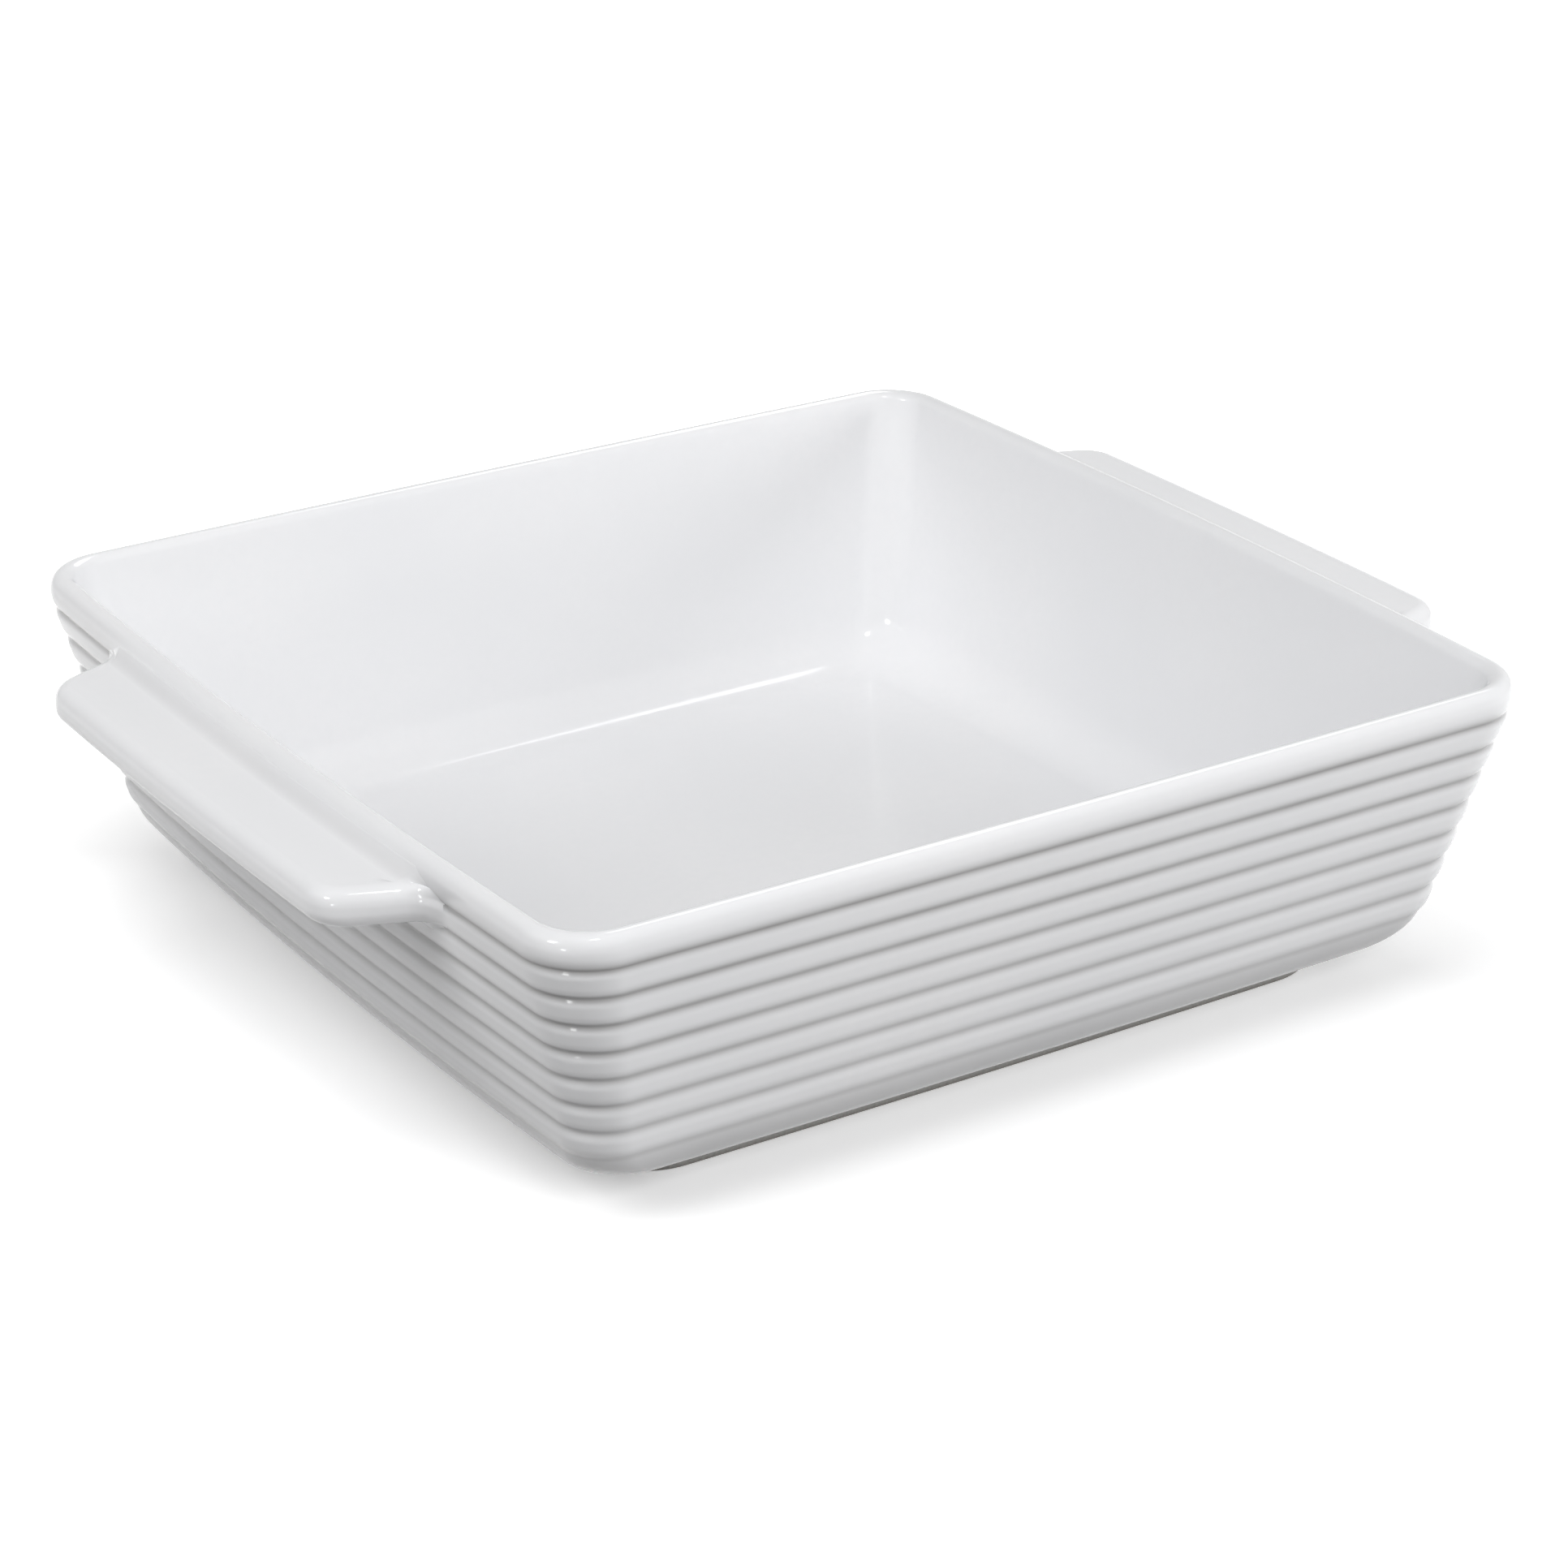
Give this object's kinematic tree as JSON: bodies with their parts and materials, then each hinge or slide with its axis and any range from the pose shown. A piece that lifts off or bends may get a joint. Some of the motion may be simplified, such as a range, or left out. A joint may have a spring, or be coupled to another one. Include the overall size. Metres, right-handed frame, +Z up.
{
  "type": "gratin dish",
  "caption": "Square glazed ceramic gratin dish with flared ribbed walls, a rounded rim, a low foot ring and a flat shelf handle on opposite sides.",
  "frame": {"origin": "middle of the foot ring's bearing face, on the surface that the dish stands on", "axes": "+X towards the right handle, +Y towards the plain rear wall, +Z up"},
  "size_m": [0.284, 0.2416, 0.0712],
  "materials": {
    "white_glaze": "gloss white glaze over stoneware"
  },
  "bodies": {
    "root": {"dish_body": "white_glaze", "left_handle": "white_glaze", "right_handle": "white_glaze"}
  },
  "joints": []
}
